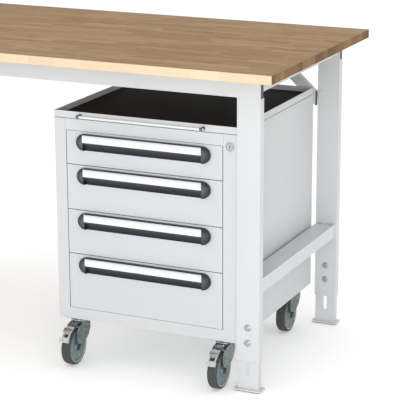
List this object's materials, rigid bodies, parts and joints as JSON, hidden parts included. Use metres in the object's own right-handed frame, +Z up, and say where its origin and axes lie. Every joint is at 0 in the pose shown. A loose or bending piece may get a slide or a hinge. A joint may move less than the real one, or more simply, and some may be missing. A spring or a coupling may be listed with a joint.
{
  "type": "workbench with mobile drawer cabinet",
  "caption": "Height-adjustable workbench with a beech top on a steel frame, with a wheeled lockable drawer cabinet under one end.",
  "frame": {"origin": "on the floor under the middle of the worktop", "axes": "+Z up, X along the bench, the front and its drawers face -Y"},
  "size_m": [1.5, 0.8, 0.947],
  "materials": {
    "white_paint": "fine powder coat, semi-matt",
    "beech": "oiled butcher block",
    "black_plastic": "matt",
    "label": "satin",
    "zinc": "zinc plated",
    "ribbed_rubber": "fine ribs, matt",
    "tyre": "matt"
  },
  "bodies": {
    "base": {"inner_leg_front_right": "white_paint", "inner_leg_rear_right": "white_paint", "inner_leg_front_left": "white_paint", "inner_leg_rear_left": "white_paint", "foot_pads": "black_plastic"},
    "bench": {"worktop": "beech", "front_rail": "white_paint", "rear_rail": "white_paint", "outer_leg_front_right": "white_paint", "outer_leg_rear_right": "white_paint", "outer_leg_front_left": "white_paint", "outer_leg_rear_left": "white_paint", "top_crossbar_right": "white_paint", "top_crossbar_left": "white_paint", "lower_crossbar_right": "white_paint", "lower_crossbar_left": "white_paint", "corner_brace_right": "white_paint", "corner_brace_left": "white_paint", "frame_end_caps": "black_plastic", "frame_bolts": "zinc"},
    "cart": {"cabinet_shell": "white_paint", "cabinet_bottom": "white_paint", "front_frame": "white_paint", "runner_rails": "zinc", "top_tray": "white_paint", "tray_mat": "ribbed_rubber", "push_bar": "zinc", "lock_body": "zinc", "caster_heads": "zinc"},
    "lock": {"lock_plug": "zinc"},
    "drawer_1": {"drawer_box_1": "zinc", "drawer_front_1": "white_paint", "drawer_handle_1": "black_plastic", "label_strip_1": "label"},
    "runner_1": {"runner_mid_1": "zinc"},
    "drawer_2": {"drawer_box_2": "zinc", "drawer_front_2": "white_paint", "drawer_handle_2": "black_plastic", "label_strip_2": "label"},
    "runner_2": {"runner_mid_2": "zinc"},
    "drawer_3": {"drawer_box_3": "zinc", "drawer_front_3": "white_paint", "drawer_handle_3": "black_plastic", "label_strip_3": "label"},
    "runner_3": {"runner_mid_3": "zinc"},
    "drawer_4": {"drawer_box_4": "zinc", "drawer_front_4": "white_paint", "drawer_handle_4": "black_plastic", "label_strip_4": "label"},
    "runner_4": {"runner_mid_4": "zinc"},
    "caster_front_left": {"caster_fork_front_left": "zinc"},
    "wheel_front_left": {"caster_wheel_front_left": "tyre"},
    "pedal_left": {"brake_pedal_left": "zinc"},
    "caster_front_right": {"caster_fork_front_right": "zinc"},
    "wheel_front_right": {"caster_wheel_front_right": "tyre"},
    "pedal_right": {"brake_pedal_right": "zinc"},
    "caster_rear_left": {"caster_fork_rear_left": "zinc"},
    "wheel_rear_left": {"caster_wheel_rear_left": "tyre"},
    "caster_rear_right": {"caster_fork_rear_right": "zinc"},
    "wheel_rear_right": {"caster_wheel_rear_right": "tyre"}
  },
  "joints": [
    {"name": "bench_height", "type": "slide", "parent": "base", "child": "bench", "axis": [0, 0, 1], "range_m": [-0.06, 0.17]},
    {"name": "cart_roll", "type": "slide", "parent": "base", "child": "cart", "axis": [0, -1, 0], "range_m": [0, 0.75]},
    {"name": "lock_turn", "type": "hinge", "parent": "cart", "child": "lock", "pos_m": [0.596, -0.324, 0.72], "axis": [0, -1, 0], "range_deg": [0, 90]},
    {"name": "drawer_1_slide", "type": "slide", "parent": "cart", "child": "drawer_1", "axis": [0, -1, 0], "range_m": [0, 0.5]},
    {"name": "runner_1_slide", "type": "slide", "parent": "cart", "child": "runner_1", "axis": [0, -1, 0], "range_m": [0, 0.25]},
    {"name": "drawer_2_slide", "type": "slide", "parent": "cart", "child": "drawer_2", "axis": [0, -1, 0], "range_m": [0, 0.5]},
    {"name": "runner_2_slide", "type": "slide", "parent": "cart", "child": "runner_2", "axis": [0, -1, 0], "range_m": [0, 0.25]},
    {"name": "drawer_3_slide", "type": "slide", "parent": "cart", "child": "drawer_3", "axis": [0, -1, 0], "range_m": [0, 0.5]},
    {"name": "runner_3_slide", "type": "slide", "parent": "cart", "child": "runner_3", "axis": [0, -1, 0], "range_m": [0, 0.25]},
    {"name": "drawer_4_slide", "type": "slide", "parent": "cart", "child": "drawer_4", "axis": [0, -1, 0], "range_m": [0, 0.5]},
    {"name": "runner_4_slide", "type": "slide", "parent": "cart", "child": "runner_4", "axis": [0, -1, 0], "range_m": [0, 0.25]},
    {"name": "swivel_front_left", "type": "hinge", "parent": "cart", "child": "caster_front_left", "pos_m": [0.088, -0.289, 0.125], "axis": [0, 0, 1], "continuous": true},
    {"name": "roll_front_left", "type": "hinge", "parent": "caster_front_left", "child": "wheel_front_left", "pos_m": [0.088, -0.333, 0.055], "axis": [1, 0, 0], "continuous": true},
    {"name": "brake_left", "type": "hinge", "parent": "caster_front_left", "child": "pedal_left", "pos_m": [0.088, -0.325, 0.1184], "axis": [1, 0, 0], "range_deg": [0, 7]},
    {"name": "swivel_front_right", "type": "hinge", "parent": "cart", "child": "caster_front_right", "pos_m": [0.566, -0.289, 0.125], "axis": [0, 0, 1], "range_deg": [-250, 25]},
    {"name": "roll_front_right", "type": "hinge", "parent": "caster_front_right", "child": "wheel_front_right", "pos_m": [0.566, -0.333, 0.055], "axis": [1, 0, 0], "continuous": true},
    {"name": "brake_right", "type": "hinge", "parent": "caster_front_right", "child": "pedal_right", "pos_m": [0.566, -0.325, 0.1184], "axis": [1, 0, 0], "range_deg": [0, 7]},
    {"name": "swivel_rear_left", "type": "hinge", "parent": "cart", "child": "caster_rear_left", "pos_m": [0.088, 0.239, 0.125], "axis": [0, 0, 1], "continuous": true},
    {"name": "roll_rear_left", "type": "hinge", "parent": "caster_rear_left", "child": "wheel_rear_left", "pos_m": [0.088, 0.195, 0.055], "axis": [1, 0, 0], "continuous": true},
    {"name": "swivel_rear_right", "type": "hinge", "parent": "cart", "child": "caster_rear_right", "pos_m": [0.566, 0.239, 0.125], "axis": [0, 0, 1], "range_deg": [-190, 110]},
    {"name": "roll_rear_right", "type": "hinge", "parent": "caster_rear_right", "child": "wheel_rear_right", "pos_m": [0.566, 0.195, 0.055], "axis": [1, 0, 0], "continuous": true}
  ],
  "couplings": [
    {"joint": "runner_1_slide", "follows": "drawer_1_slide", "ratio": 0.5},
    {"joint": "runner_2_slide", "follows": "drawer_2_slide", "ratio": 0.5},
    {"joint": "runner_3_slide", "follows": "drawer_3_slide", "ratio": 0.5},
    {"joint": "runner_4_slide", "follows": "drawer_4_slide", "ratio": 0.5}
  ]
}
